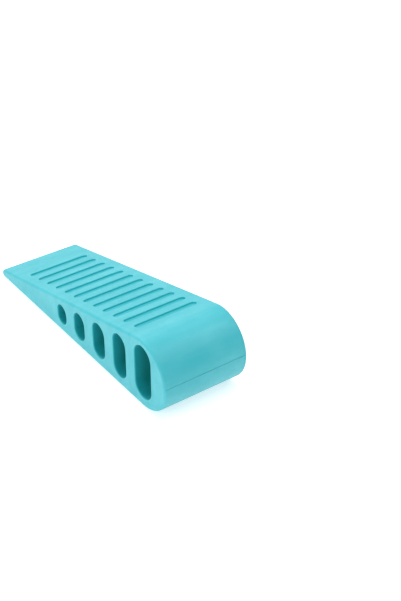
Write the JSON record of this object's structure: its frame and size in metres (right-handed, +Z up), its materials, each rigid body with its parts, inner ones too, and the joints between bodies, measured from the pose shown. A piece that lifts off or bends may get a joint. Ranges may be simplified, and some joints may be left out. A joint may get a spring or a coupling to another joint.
{
  "type": "door wedge",
  "caption": "Solid rubber door wedge with a rounded heel, grip grooves across the sloping face and a row of tall slots through its sides.",
  "frame": {"origin": "on the floor, under the middle of the wedge's length and width", "axes": "+X from the thin nose towards the thick round heel, +Y across the wedge, +Z up from the floor"},
  "size_m": [0.14, 0.0414, 0.0334],
  "materials": {
    "rubber": "matte, slightly translucent turquoise rubber"
  },
  "bodies": {
    "root": {"wedge_body": "rubber"}
  },
  "joints": []
}
